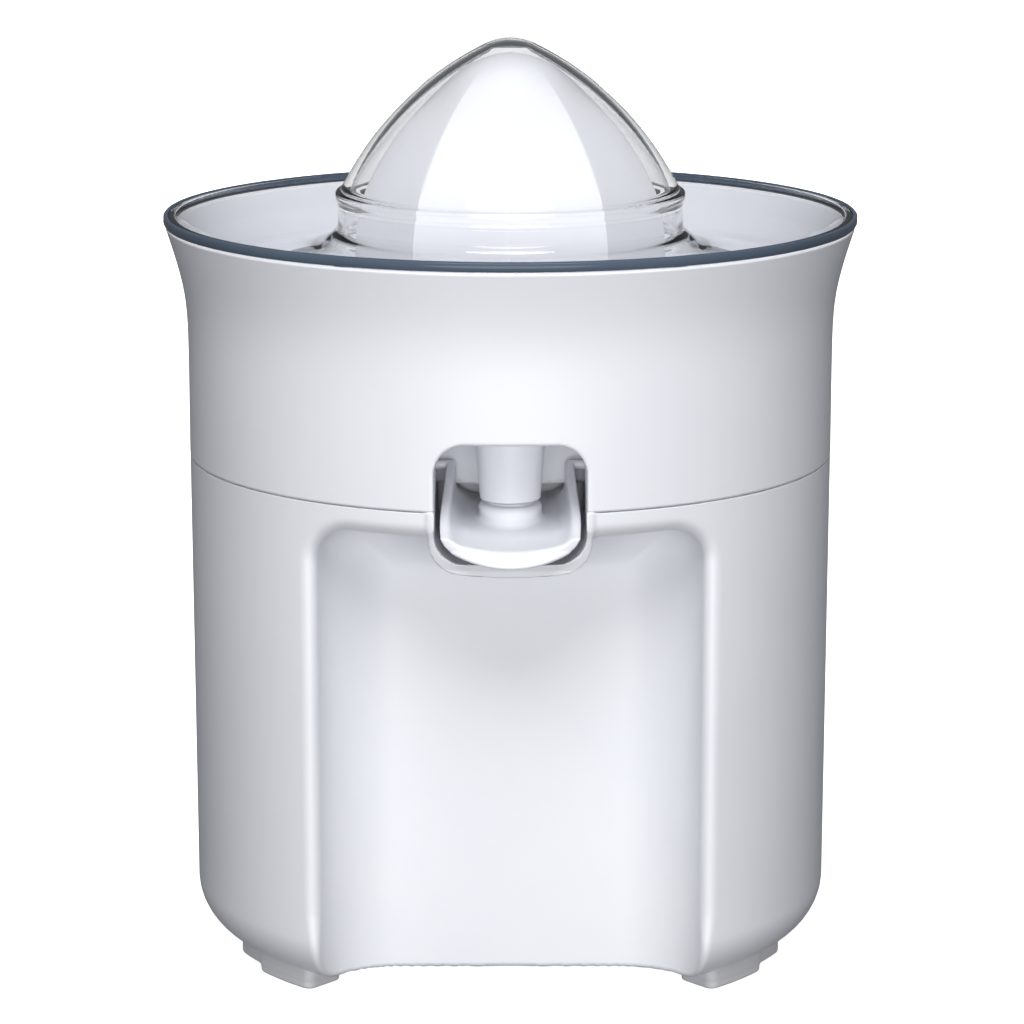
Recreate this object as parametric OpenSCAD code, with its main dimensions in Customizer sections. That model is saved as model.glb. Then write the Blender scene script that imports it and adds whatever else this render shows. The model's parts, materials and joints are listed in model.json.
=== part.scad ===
// Electric citrus press: a round motor base, a juice collector with a tilting
// spout, a ridged reamer cone on a hex drive and a clear cover that follows it.
// Millimetres, +Z up, origin on the floor at the axis of the round body,
// front (glass recess and spout) towards -Y.

/* [Body] */
// Outer radius of the round motor base and of the collector above it
body_r = 82.8; // [82:0.1:83.6]
// Height of the joint line between motor base and collector
seam_z = 129; // [128:0.5:130]
// Wall thickness of the moulded housing
wall = 2.5; // [2:0.1:2.8]
// Radius of the rounded lower edge of the base
edge_r = 13; // [11:0.5:14]
// Height of the feet
foot_h = 3; // [2.5:0.5:3]

/* [Glass recess] */
// Height of the front edge of the recess roof
recess_top = 122; // [120:0.5:122]
// Distance of the flat back wall of the recess from the body axis
recess_y = 48; // [46:0.5:50]
// Radius of the curve in the roof of the recess
recess_cove = 14; // [8:1:18]

/* [Cover] */
// Outer radius of the cover rim, the widest point of the press
rim_r = 89; // [88.8:0.1:90]
// Height of the rounded tip of the cover
apex_z = 235.3; // [235:0.1:236]
// Wall thickness of the clear cover
cover_t = 2; // [1.6:0.1:2.1]

/* [Reamer] */
// Number of ridges on the reamer cone
ridges = 10; // [6:1:14]
// Depth of the flutes between the ridges
flute_d = 3.2; // [2:0.1:4]

/* [Spout] */
// Half width of the opening that the spout tilts in
mouth_w = 18.45; // [18.2:0.05:19]
// Angle between the lowered spout and the closed spout
spout_open = 4; // [0:0.5:4]

/* [Gear train] */
// Gear module
gear_m = 0.8; // [0.8:0.1:0.8]
// Teeth of the output gear
out_teeth = 70; // [70:1:70]
// Teeth of the large idler wheel
idle_teeth = 48; // [48:1:48]
// Teeth of the small idler wheel
small_teeth = 14; // [14:1:14]
// Teeth of the motor pinion
pinion_teeth = 12; // [12:1:12]

/* [Hidden] */
$fn = 96;

// colours of the mouldings and metals
shell_c = [0.93, 0.94, 0.97];
clear_c = [0.78, 0.84, 0.92, 0.35];
rubber_c = [0.88, 0.88, 0.9];
steel_c = [0.66, 0.67, 0.7];
brass_c = [0.72, 0.56, 0.3];
copper_c = [0.75, 0.42, 0.24];
nylon_c = [0.9, 0.88, 0.8];
black_c = [0.14, 0.14, 0.15];

// big number for cuts that run past the body
far = 200;
// running clearance of shafts in their bushes
run = 0.05;

// base shell
under_z = foot_h;
edge_z = under_z + edge_r;
open_r = body_r - edge_r - 0.3;
deck_t = 2.5;
deck_z = seam_z - deck_t;
ring_r = body_r - wall - 0.1;
ring_h = 5;

// glass recess, plan and front view
recess_flat = 28;
recess_r = 20;
recess_c = recess_y + recess_r;
recess_half = 48.5;
recess_corner = 8;
lip_r = 3;

// spout cradle in the base and mouth in the collector
mouth_r = 6.5;
mouth_low = 114.6;
mouth_high = 146;
cradle_t = 1.4;
pocket_y = 42;
pocket_t = 1.8;

// gear train and motor positions
motor_y = 40;
pair_1 = gear_m * (out_teeth + small_teeth) / 2;
pair_2 = gear_m * (idle_teeth + pinion_teeth) / 2;
idle_y = (pair_1 * pair_1 - pair_2 * pair_2 + motor_y * motor_y) / (2 * motor_y);
idle_x = sqrt(pair_1 * pair_1 - idle_y * idle_y);
mesh_1 = atan2(idle_y, idle_x);
mesh_2 = atan2(motor_y - idle_y, -idle_x);
plate_z = 90;
plate_t = 3;
stack_lo = 46;
stack_hi = 74;
yoke = 30;
yoke_t = 6;
bolt_y = yoke - yoke_t / 2;

// drive stack
pin_r = 2;
hex_r = 4;
shaft_r = 4;
head_hex_r = 7;
bush_r = 7;
bush_lo = 127.5;
bush_hi = 148;
seal_hi = 151;
boss_r = 10;

// collector, bowl and nozzle
bowl_z = 148;
bowl_t = 2.4;
chimney_in = 11;
chimney_r = 13;
chimney_z = 160.5;
nozzle_y = 58;
nozzle_z = 127.7;
nozzle_bore = 6.3;

// spout pivot
pivot_y = 48;
pivot_z = 134;

// cover dome, an arc of revolution with a rounded tip
dome_cx = -30.1;
dome_cz = 160.1;
dome_r = 82.25;
tip_u = (dome_cx * dome_cx - pow(dome_r - (apex_z - dome_cz), 2))
    / (2 * (dome_r - (apex_z - dome_cz)));
tip_r = apex_z - dome_cz - tip_u;
ledge_z = 196.3;

// reamer, an arc of revolution with a rounded tip
ream_cz = 164.4;
ream_r = 75.84;
ream_top = 230.8;
ream_u = (dome_cx * dome_cx - pow(ream_r - (ream_top - ream_cz), 2))
    / (2 * (ream_r - (ream_top - ream_cz)));
ream_tip = ream_top - ream_cz - ream_u;
ream_z = 171.5;

// ---------- shared shapes ----------

// rectangle with true round corners
module round_rect(x0, y0, x1, y1, r) {
    translate([x0 + r, y0])
        square([x1 - x0 - 2 * r, y1 - y0]);
    translate([x0, y0 + r])
        square([x1 - x0, y1 - y0 - 2 * r]);
    for (x = [x0 + r, x1 - r], y = [y0 + r, y1 - r])
        translate([x, y])
            circle(r = r);
}

// extrudes an X-Z outline from y0 back to y1
module along_y(y0, y1) {
    translate([0, y1, 0])
        rotate([90, 0, 0])
            linear_extrude(y1 - y0)
                children();
}

// extrudes a Y-Z outline across x0 to x1
module along_x(x0, x1) {
    translate([x0, 0, 0])
        rotate([90, 0, 90])
            linear_extrude(x1 - x0)
                children();
}

// upright pin, ring or disc at x, y
module post(x, y, z0, z1, r) {
    translate([x, y, z0])
        cylinder(h = z1 - z0, r = r);
}

module tube(x, y, z0, z1, r, bore) {
    difference() {
        post(x, y, z0, z1, r);
        post(x, y, z0 - 1, z1 + 1, bore);
    }
}

// hexagonal bar on the Z axis, r is the corner radius
module hex_bar(z0, z1, r) {
    translate([0, 0, z0])
        linear_extrude(z1 - z0)
            circle(r = r, $fn = 6);
}

// coarse screw: pan head below or above a plain shank, pointing up
module screw_up(x, y, z_head, head_h, length, r, head_r) {
    post(x, y, z_head, z_head + head_h, head_r);
    post(x, y, z_head + head_h, z_head + head_h + length, r);
}

// flank point of an involute of base radius rb at radius r
function inv_turn(rb, r) = r <= rb ? 0 : tan(acos(rb / r)) * 180 / PI - acos(rb / r);

// outline of one spur gear: shortened 25 degree teeth with working backlash
function gear_points(teeth, tip, root) =
    let (pitch = gear_m * teeth / 2)
    let (rb = pitch * cos(25))
    let (ra = pitch + tip)
    let (rf = pitch - root)
    let (half = 90 / teeth - 0.1 / pitch * 180 / PI)
    let (mid = half + inv_turn(rb, pitch))
    let (low = max(rb, rf))
    let (steps = 4)
    let (flank = [for (i = [0:steps]) low + (ra - low) * i / steps])
    [
        for (t = [0:teeth - 1])
            let (a = 360 * t / teeth)
            each concat(
                rf < low ? [polar(rf, a - mid)] : [],
                [for (r = flank) polar(r, a - mid + inv_turn(rb, r))],
                [for (i = [steps:-1:0]) polar(flank[i], a + mid - inv_turn(rb, flank[i]))],
                rf < low ? [polar(rf, a + mid)] : []
            )
    ];

function polar(r, a) = [r * cos(a), r * sin(a)];

module gear(teeth, z0, z1, turn) {
    translate([0, 0, z0])
        rotate([0, 0, turn])
            linear_extrude(z1 - z0)
                polygon(gear_points(teeth, 0.8 * gear_m, 1.05 * gear_m));
}

// ---------- base shell ----------

// half outline of the round base, set in by the given depth
module base_half(inset, top) {
    translate([0, edge_z])
        square([body_r - inset, top - edge_z]);
    translate([0, under_z + inset])
        square([body_r - edge_r, edge_r - inset]);
    translate([body_r - edge_r, edge_z])
        circle(r = edge_r - inset);
}

module base_blank() {
    rotate_extrude()
        base_half(0, seam_z);
}

// plan of the glass recess: flat back that sweeps forward at both sides
module recess_plan(grow) {
    for (s = [-1, 1])
        translate([s * recess_flat, -recess_c])
            circle(r = recess_r + grow);
    translate([-recess_flat, -far])
        square([2 * recess_flat, far - recess_y + grow]);
    translate([-recess_flat - recess_r - grow, -far])
        square([2 * (recess_flat + recess_r + grow), far - recess_c]);
}

// the recess as one solid, grown by a wall thickness where asked
module recess_space(grow) {
    intersection() {
        linear_extrude(recess_top + grow)
            recess_plan(grow);
        along_y(-far, 0)
            round_rect(-recess_half - grow, -far, recess_half + grow,
                recess_top + grow, recess_corner + grow);
        along_x(-far, far)
            union() {
                translate([-far, -far])
                    square([far - recess_y - recess_cove, far + recess_top + grow]);
                translate([-far, -far])
                    square([far - recess_y + grow, far + recess_top - recess_cove]);
                translate([-recess_y - recess_cove, recess_top - recess_cove])
                    circle(r = recess_cove + grow);
            }
    }
}

// centre of the rounding where the recess side meets the round body
function lip_centre() =
    let (d = norm([recess_flat, recess_c]))
    let (r1 = body_r - lip_r)
    let (r2 = recess_r + lip_r)
    let (a = (r1 * r1 - r2 * r2 + d * d) / (2 * d))
    let (h = sqrt(r1 * r1 - a * a))
    [
        (a * recess_flat + h * recess_c) / d,
        (-a * recess_c + h * recess_flat) / d
    ];

// removes the sharp corner beyond the rounding, in short flats
module recess_lip_cut() {
    c = lip_centre();
    side = c - [recess_flat, -recess_c];
    a0 = atan2(-side[1], -side[0]);
    a1 = atan2(c[1], c[0]);
    steps = 8;
    round = [for (i = [1:steps - 1]) c + polar(lip_r, a0 + (a1 - a0) * i / steps)];
    near = c + polar(lip_r + 0.4, a0);
    outer = c + polar(lip_r + 0.4, a1);
    for (s = [0, 1])
        mirror([s, 0, 0])
            intersection() {
                linear_extrude(recess_top)
                    polygon(concat(
                        [near + [-0.6, -12], near],
                        round,
                        [outer, outer + [4, -9]]
                    ));
                along_y(-far, 0)
                    round_rect(-recess_half - 4, -far, recess_half + 4, recess_top, 12);
            }
}

// outline of the spout mouth, X-Z, grown by a wall where asked
module mouth_outline(grow, top) {
    round_rect(-mouth_w - grow, mouth_low - grow, mouth_w + grow, top + grow, mouth_r + grow);
}

// screw posts that carry the bottom plate
bottom_posts = [for (a = [-147, -33, 40, 140]) [62 * cos(a), 62 * sin(a), a]];
// hanging posts that carry the gear plate
plate_posts = [[38, -28], [-38, -28], [38, 46], [-38, 46]];

module base_cavity() {
    difference() {
        union() {
            rotate_extrude()
                intersection() {
                    base_half(wall, deck_z);
                    translate([0, 0])
                        square([far, deck_z]);
                }
            post(0, 0, under_z - 1, under_z + wall + 1, open_r);
        }
        recess_space(wall);
        for (p = bottom_posts) {
            post(p[0], p[1], under_z + 5, deck_z + 1, 4.5);
            rotate([0, 0, p[2]])
                translate([62, -1, under_z + 9])
                    cube([body_r - 63, 2, 80]);
        }
        for (p = plate_posts)
            post(p[0], p[1], plate_z + plate_t, deck_z + 1, 4.5);
        post(0, 0, bush_lo - 5.5, deck_z + 1, boss_r);
        post(idle_x, idle_y, 117, deck_z + 1, 5.5);
        along_y(-far, -pocket_y + pocket_t)
            mouth_outline(cradle_t, seam_z + far);
    }
}

module base_housing() {
    color(shell_c)
    difference() {
        union() {
            difference() {
                base_blank();
                base_cavity();
                difference() {
                    recess_space(0);
                    along_y(-far, -pocket_y + pocket_t)
                        mouth_outline(cradle_t, seam_z + far);
                }
                recess_lip_cut();
            }
            tube(0, 0, seam_z - 1, seam_z + ring_h, ring_r, ring_r - wall);
            post(0, 0, seam_z - 1, seal_hi, boss_r);
        }
        // spout pocket through deck and locating ring
        along_y(-far, -pocket_y)
            mouth_outline(0, seam_z + far);
        translate([-mouth_w - 2.2, -far, seam_z])
            cube([2 * mouth_w + 4.4, far - pocket_y + 2.4, ring_h + 1]);
        // bore for bush and seal, wider below for spring and clip
        post(0, 0, bush_lo - 1, seal_hi + 1, bush_r);
        post(0, 0, bush_lo - 7, bush_lo, 8.2);
        // pilot holes
        for (p = plate_posts)
            post(p[0], p[1], plate_z, plate_z + plate_t + 15, 1.6);
        for (p = bottom_posts)
            post(p[0], p[1], under_z + 4, under_z + 20, 1.6);
        post(idle_x, idle_y, 116, 124, 2.5);
        // seat of the cord inlet at the back
        translate([0, 0, 24])
            rotate([-90, 0, 0])
                cylinder(h = far, r = 6);
        translate([0, body_r - 0.6, 24])
            rotate([-90, 0, 0])
                cylinder(h = 10, r = 8.3);
    }
}

module bottom_plate() {
    color(shell_c)
    difference() {
        union() {
            difference() {
                post(0, 0, under_z, under_z + wall, open_r - 0.25);
                translate([0, 0, -1])
                    linear_extrude(20)
                        recess_plan(wall + 0.25);
            }
            for (p = bottom_posts)
                post(p[0], p[1], under_z, under_z + 5, 5.5);
        }
        for (p = bottom_posts) {
            post(p[0], p[1], under_z - 1, under_z + 6, 1.6);
            post(p[0], p[1], under_z - 1, under_z + 3, 3.6);
        }
        // vents under the motor
        for (i = [-4:4])
            translate([-24, motor_y + 5 * i - 1, under_z - 1])
                cube([48, 2, wall + 2]);
    }
}

// one soft pad, its top shaped by the underside of the base
module foot_pad() {
    difference() {
        intersection() {
            tube(0, 0, 0, under_z + 3, 75.2, 70);
            linear_extrude(under_z + 3)
                polygon([[0, 0], polar(110, -26), polar(110, -49)]);
        }
        base_blank();
    }
}

module foot_pads() {
    color(rubber_c)
    for (a = [0, 1], b = [0, 1])
        mirror([a, 0, 0])
            mirror([0, b, 0])
                foot_pad();
}

module bottom_screws() {
    color(steel_c)
    for (p = bottom_posts)
        screw_up(p[0], p[1], under_z + 1.2, 1.8, 14, 1.6, 3.2);
}

module cord_inlet() {
    color(black_c)
    translate([0, 0, 24])
        rotate([-90, 0, 0])
            difference() {
                union() {
                    translate([0, 0, body_r - 7])
                        cylinder(h = 7.5, r = 6);
                    translate([0, 0, body_r - 0.6])
                        cylinder(h = 2, r = 8);
                    translate([0, 0, body_r - 7])
                        cylinder(h = 3.6, r = 7.6);
                }
                translate([0, 0, body_r - 10])
                    cylinder(h = 20, r = 3.6);
            }
}

// ---------- gear case ----------

module gear_plate() {
    color(steel_c)
    difference() {
        union() {
            translate([0, 0, plate_z])
                linear_extrude(plate_t)
                    union() {
                        round_rect(-42.4, -34, 42.4, 52, 6);
                        round_rect(-8, 40, 8, 73, 4);
                    }
            post(0, 0, plate_z, 97, 9.6);
            for (s = [-1, 1])
                post(0, motor_y + s * bolt_y, stack_hi + 3, plate_z + 1, 4.5);
            // hanging tab for the switch
            translate([-15, -9, 60])
                cube([30, 2.5, plate_z - 59]);
        }
        post(0, 0, plate_z - 1, 98, 6.5 + run);
        post(0, motor_y, plate_z - 1, plate_z + plate_t + 1, 7);
        post(idle_x, idle_y, plate_z - 1, plate_z + plate_t + 1, 2.5);
        for (p = plate_posts)
            post(p[0], p[1], plate_z - 1, plate_z + plate_t + 1, 1.6);
        for (s = [-1, 1])
            post(0, motor_y + s * bolt_y, stack_hi, stack_hi + 14, 1.5);
        for (s = [-1, 1])
            translate([7 * s, -20, 66])
                rotate([-90, 0, 0])
                    cylinder(h = 20, r = 1.2);
    }
}

module gear_plate_screws() {
    color(steel_c)
    for (p = plate_posts)
        screw_up(p[0], p[1], plate_z - 2.2, 2.2, 16, 1.6, 3);
}

module drive_bush() {
    color(brass_c)
    tube(0, 0, bush_lo, bush_hi, bush_r, shaft_r + run);
}

module shaft_seal() {
    color(black_c)
    difference() {
        post(0, 0, bush_hi, seal_hi, bush_r);
        post(0, 0, bush_hi - 1, seal_hi + 1, shaft_r + run);
        tube(0, 0, bush_hi + 1.2, seal_hi + 1, bush_r - 1.2, shaft_r + 1);
    }
}

module thrust_washer() {
    color(nylon_c)
    tube(0, 0, 97, 97.9, 9, 6.5 + run);
}

module idler_axle() {
    color(steel_c)
    post(idle_x, idle_y, plate_z - 2, 123.5, 2.5);
}

// ---------- motor ----------

module stator_core() {
    color([0.42, 0.43, 0.46])
    translate([0, motor_y, stack_lo])
        linear_extrude(stack_hi - stack_lo)
            difference() {
                union() {
                    difference() {
                        round_rect(-yoke, -yoke, yoke, yoke, 5);
                        round_rect(yoke_t - yoke, yoke_t - yoke, yoke - yoke_t, yoke - yoke_t, 3);
                    }
                    // two salient poles with curved shoes
                    intersection() {
                        circle(r = 16.5);
                        union() {
                            polygon([[0, 0], polar(40, 52), polar(40, -52)]);
                            polygon([[0, 0], polar(40, 128), polar(40, -128)]);
                        }
                    }
                    translate([-yoke + 1, -7])
                        square([2 * yoke - 2, 14]);
                }
                circle(r = 13);
                for (s = [-1, 1])
                    translate([0, s * bolt_y])
                        circle(r = 1.7);
            }
}

// frame around one pole: outline Y-Z, hole Y-Z
module coil_frame(x0, x1, y_in, y_out, z_in, z_out) {
    mid = (stack_lo + stack_hi) / 2;
    along_x(x0, x1)
        difference() {
            round_rect(-y_out, mid - z_out, y_out, mid + z_out, 1.5);
            translate([-y_in, mid - z_in])
                square([2 * y_in, 2 * z_in]);
        }
}

module coil_bobbins() {
    color(nylon_c)
    translate([0, motor_y, 0])
        for (s = [0, 1])
            mirror([s, 0, 0]) {
                coil_frame(17, 23.8, 7.1, 8.1, 14.1, 15.1);
                coil_frame(17, 17.8, 7.1, 14.8, 14.1, 21.8);
                coil_frame(23, 23.8, 7.1, 14.8, 14.1, 21.8);
            }
}

module coil_windings() {
    color(copper_c)
    translate([0, motor_y, 0])
        for (s = [0, 1])
            mirror([s, 0, 0])
                coil_frame(17.85, 22.95, 8.15, 14, 15.15, 21);
}

// bridge with a bush seat, standing on the stack; flipped for the lower one
module motor_bridge() {
    difference() {
        union() {
            for (s = [0, 1])
                mirror([0, s, 0]) {
                    translate([-10, yoke - 9.5 - 4, 0])
                        cube([20, 12.5, 3]);
                    translate([-10, yoke - 9.5 - 4, 0])
                        cube([20, 3, 9]);
                }
            translate([-10, -yoke + 10.5, 6])
                cube([20, 2 * yoke - 21, 3]);
            post(0, 0, 6, 12, 7);
        }
        post(0, 0, 5, 13, 4.5);
        for (s = [-1, 1])
            post(0, s * bolt_y, -1, 4, 1.5);
    }
}

module upper_bracket() {
    color(steel_c)
    translate([0, motor_y, stack_hi])
        motor_bridge();
}

module lower_bracket() {
    color(steel_c)
    translate([0, motor_y, stack_lo])
        mirror([0, 0, 1])
            motor_bridge();
}

module motor_bushes() {
    color(brass_c)
    for (z = [stack_lo - 12.5, stack_hi + 5.7])
        tube(0, motor_y, z, z + 6.8, 4.5, 2.5 + run);
}

module motor_screws() {
    color(steel_c)
    for (s = [-1, 1])
        screw_up(0, motor_y + s * bolt_y, stack_lo - 5.5, 2.5, 44, 1.5, 2.8);
}

module rotor_core() {
    color([0.5, 0.5, 0.53])
    translate([0, motor_y, 0])
        difference() {
            union() {
                post(0, 0, stack_lo, stack_hi, 12.6);
                post(0, 0, stack_lo - 2.5, stack_hi + 2.5, 11);
            }
            post(0, 0, stack_lo - 4, stack_hi + 4, 2.5);
            for (z = [stack_lo - 3, stack_hi + 1])
                tube(0, 0, z, z + 2, 8, 5);
        }
}

module rotor_shaft() {
    color(steel_c)
    post(0, motor_y, 32, 105, 2.5);
}

module motor_pinion() {
    color(brass_c)
    translate([0, motor_y, 0])
        difference() {
            gear(pinion_teeth, 94.5, 104.5, mesh_2 + 180 + 180 / pinion_teeth);
            post(0, 0, 94, 106, 2.5);
        }
}

module idler_gear() {
    color(nylon_c)
    translate([idle_x, idle_y, 0])
        difference() {
            union() {
                post(0, 0, 93.3, 96, 5);
                difference() {
                    gear(idle_teeth, 96, 103, mesh_2);
                    tube(0, 0, 101, 104, 16, 8);
                }
                gear(small_teeth, 102, 115.5, mesh_1 + 180 + 180 / small_teeth);
            }
            post(0, 0, 93, 117, 2.5 + run);
        }
}

// ---------- switch and wiring block ----------

module switch_body() {
    color(black_c)
    difference() {
        translate([-10, -6.4, 62])
            cube([20, 10.6, 16]);
        post(0, 0, 66, 79, 1.9);
        for (s = [-1, 1])
            translate([7 * s, -7, 66])
                rotate([-90, 0, 0])
                    cylinder(h = 9, r = 1.2);
    }
    // blade terminals
    color(brass_c)
    for (x = [-7, 0, 7])
        translate([x - 2, -1.5, 56])
            cube([4, 0.8, 6]);
}

module switch_screws() {
    color(steel_c)
    for (s = [-1, 1])
        translate([7 * s, 0, 66])
            rotate([-90, 0, 0])
                translate([0, 0, -11]) {
                    cylinder(h = 2, r = 2.2);
                    cylinder(h = 12.5, r = 1.2);
                }
}

module switch_plunger() {
    color([0.75, 0.2, 0.16])
    post(0, 0, 69.5, 85.8, 1.8);
}

module terminal_block() {
    color(nylon_c)
    difference() {
        translate([-52, -6, under_z + wall])
            cube([30, 13, 13]);
        for (i = [0:2])
            translate([-47 + 10 * i, -7, under_z + wall + 5])
                rotate([-90, 0, 0])
                    cylinder(h = 15, r = 1.8);
        for (i = [0:2], y = [-2, 3])
            post(-47 + 10 * i, y, under_z + wall + 5, 30, 1.5);
    }
}

// ---------- drive ----------

module output_gear() {
    color(nylon_c)
    difference() {
        union() {
            post(0, 0, 90.5, 99, 6.5);
            post(0, 0, 98, 107, 9);
            difference() {
                gear(out_teeth, 106, 114, mesh_1);
                tube(0, 0, 105, 108, 24, 12);
                tube(0, 0, 112, 115, 24, 10);
            }
            post(0, 0, 113, 116, 7.5);
        }
        hex_bar(90, 117, hex_r + 0.06);
    }
}

module drive_shaft() {
    color(steel_c)
    union() {
        post(0, 0, 86, 95, pin_r);
        hex_bar(94, 119.4, hex_r);
        difference() {
            post(0, 0, 118.9, 174, shaft_r);
            // flats that turn the drive head
            for (s = [-1, 1])
                translate([s * 5 - 2, -5, 156])
                    cube([4, 10, 20]);
        }
    }
}

module drive_head() {
    color(shell_c)
    difference() {
        union() {
            post(0, 0, 154, 157, 9);
            hex_bar(156, 182, head_hex_r);
        }
        difference() {
            post(0, 0, 153, 174, shaft_r);
            for (s = [-1, 1])
                translate([s * 5 - 2, -5, 156])
                    cube([4, 10, 20]);
        }
    }
}

module shaft_clip() {
    color(steel_c)
    difference() {
        post(0, 0, 125.8, 127.3, 7.2);
        post(0, 0, 125, 128, shaft_r);
        translate([-2.4, -9, 125])
            cube([4.8, 6.5, 3]);
    }
}

// points of the spring wire: turns of a helix with closed ends
spring_lo = 116.5;
spring_hi = 125.3;
spring_turns = 5;
spring_r = 5.4;
wire_r = 0.45;
function spring_at(t) =
    let (ease = min(1, max(0, (t - 0.15) / 0.7)))
    [
        spring_r * cos(360 * spring_turns * t),
        spring_r * sin(360 * spring_turns * t),
        spring_lo + (spring_hi - spring_lo) * ease
    ];
spring_steps = 75;
wire_sides = 6;

module return_spring() {
    color(steel_c)
    polyhedron(
        points = [
            for (i = [0:spring_steps])
                let (c = spring_at(i / spring_steps))
                let (a = 360 * spring_turns * i / spring_steps)
                for (k = [0:wire_sides - 1])
                    let (b = 360 * k / wire_sides)
                    [
                        c[0] + wire_r * cos(b) * cos(a),
                        c[1] + wire_r * cos(b) * sin(a),
                        c[2] + wire_r * sin(b)
                    ]
        ],
        faces = concat(
            [[for (k = [0:wire_sides - 1]) k]],
            [
                for (i = [0:spring_steps - 1], k = [0:wire_sides - 1])
                    let (n = (k + 1) % wire_sides)
                    each [
                        [
                            i * wire_sides + k,
                            (i + 1) * wire_sides + k,
                            (i + 1) * wire_sides + n
                        ],
                        [
                            i * wire_sides + k,
                            (i + 1) * wire_sides + n,
                            i * wire_sides + n
                        ]
                    ]
            ],
            [[for (k = [wire_sides - 1:-1:0]) spring_steps * wire_sides + k]]
        )
    );
}

// ---------- collector, strainer and spout ----------

// flare of the collector wall: radius gained over the body at each height
flare = [
    [seam_z + 0.3, 0.2], [154, 0.3], [162, 0.6], [166, 0.8], [170, 1.1], [174, 1.8],
    [178, 2.8], [182, 3.9], [186, 5.1], [188.2, 5.8]
];

module collector_half() {
    polygon(concat(
        [for (p = flare) [body_r + p[1], p[0]]],
        [for (i = [len(flare) - 1:-1:3])
            [body_r + flare[i][1] - (i > 6 ? 1.8 : 2.4), flare[i][0]]],
        [[body_r - 2.2, 160], [body_r - 2.2, seam_z + 0.3]]
    ));
}

module juice_collector() {
    color(shell_c)
    difference() {
        union() {
            rotate_extrude()
                collector_half();
            // seat that rests on the locating ring of the base
            tube(0, 0, seam_z + ring_h + 0.1, seam_z + ring_h + 3.1, body_r - 2, 77.5);
            // bowl floor with the fall towards the spout
            difference() {
                post(0, 0, bowl_z - 2, 156, body_r - 2);
                translate([0, -body_r, bowl_z + bowl_t])
                    rotate([1.2, 0, 0])
                        translate([-far, -far, 0])
                            cube([2 * far, 2 * far, 40]);
                post(0, 0, bowl_z - 3, bowl_z - 0.4, 44);
            }
            post(0, 0, bowl_z - 2, chimney_z, chimney_r);
            // spout pocket
            intersection() {
                post(0, 0, seam_z + 0.3, bowl_z, body_r - 1);
                along_y(-far, -pocket_y + pocket_t)
                    mouth_outline(pocket_t, mouth_high);
            }
            // strainer ledges
            for (a = [0:60:300])
                rotate([0, 0, a + 30])
                    translate([76.5, -2, 150])
                        cube([5, 4, 16]);
        }
        difference() {
            along_y(-far, -pocket_y)
                mouth_outline(0, mouth_high);
            translate([0, -nozzle_y, nozzle_z])
                cylinder(h = mouth_high - nozzle_z + 1, r1 = 7.5, r2 = 9);
        }
        post(0, 0, seam_z - 1, chimney_z + 1, chimney_in);
        post(0, -nozzle_y, nozzle_z - 5, 160, nozzle_bore);
        translate([0, -nozzle_y, bowl_z])
            cylinder(h = 6, r1 = nozzle_bore, r2 = nozzle_bore + 6);
        // pivot holes of the spout
        along_x(-mouth_w - 5, mouth_w + 5)
            translate([-pivot_y, pivot_z])
                circle(r = 1.6);
        // room around the seat ring in front of the pocket
        translate([-mouth_w, -far, seam_z])
            cube([2 * mouth_w, far - 79, 10]);
    }
    // nozzle below the pocket roof
    color(shell_c)
    difference() {
        translate([0, -nozzle_y, nozzle_z])
            cylinder(h = mouth_high - nozzle_z, r1 = 7.5, r2 = 9);
        post(0, -nozzle_y, nozzle_z - 1, 160, nozzle_bore);
    }
}

module strainer() {
    color(shell_c)
    difference() {
        union() {
            tube(0, 0, 166, 168, 79.8, chimney_r + 0.4);
            tube(0, 0, 166, 170, 79.8, 77.8);
            tube(0, 0, 163, 168, chimney_r + 2.4, chimney_r + 0.4);
        }
        for (i = [0:35])
            rotate([0, 0, 10 * i])
                translate([47, -0.9, 165])
                    cube([27, 1.8, 4]);
        for (i = [0:17])
            rotate([0, 0, 20 * i])
                translate([20, -0.9, 165])
                    cube([22, 1.8, 4]);
    }
}

// U outline of the tray, X-Z, for the outer or the inner face
module tray_outline(half, floor_z, corner, crown) {
    intersection() {
        round_rect(-half, floor_z, half, 160, corner);
        translate([0, floor_z + crown])
            circle(r = crown);
    }
}

// spout in its closed position
module scoop_closed() {
    rise = 3;
    difference() {
        intersection() {
            // tray with a falling floor
            translate([0, -86, 118])
                rotate([rise, 0, 0])
                    translate([0, 86, -118])
                        difference() {
                            along_y(-100, -pocket_y - 1)
                                tray_outline(17.5, 118, 7, 45);
                            along_y(-101, -pocket_y + 1)
                                tray_outline(15.5, 121.8, 6, 60);
                        }
            post(0, 0, 100, 150, 86);
            along_x(-30, 30)
                polygon([
                    [-90, 100], [-90, 123], [-86, 123.2], [-80.5, 125],
                    [-52, pivot_z + 2], [-46, pivot_z + 2], [-44.5, 128], [-44.5, 100]
                ]);
        }
    }
    for (s = [0, 1])
        mirror([s, 0, 0])
            along_x(16, mouth_w + pocket_t - 0.1)
                translate([-pivot_y, pivot_z])
                    circle(r = 1.5);
}

// half outline of the drip plug around the nozzle axis
module plug_half() {
    polygon([
        [0, 121], [12, 121], [10, 122.2], [8.2, 123], [7.6, 123.6], [7.9, 124.4],
        [8.1, 125.4], [7.9, 126.3], [7.3, 127], [6.4, 127.45], [5.6, 128], [5.2, 128.6],
        [0, 129]
    ]);
}

// turns the closed spout down about its pivot to the rest position
module lowered() {
    translate([0, -pivot_y, pivot_z])
        rotate([spout_open, 0, 0])
            translate([0, pivot_y, -pivot_z])
                children();
}

module spout_scoop() {
    color(shell_c)
    lowered()
        difference() {
            scoop_closed();
            translate([0, -nozzle_y, 0])
                rotate_extrude()
                    plug_half();
        }
}

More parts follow.
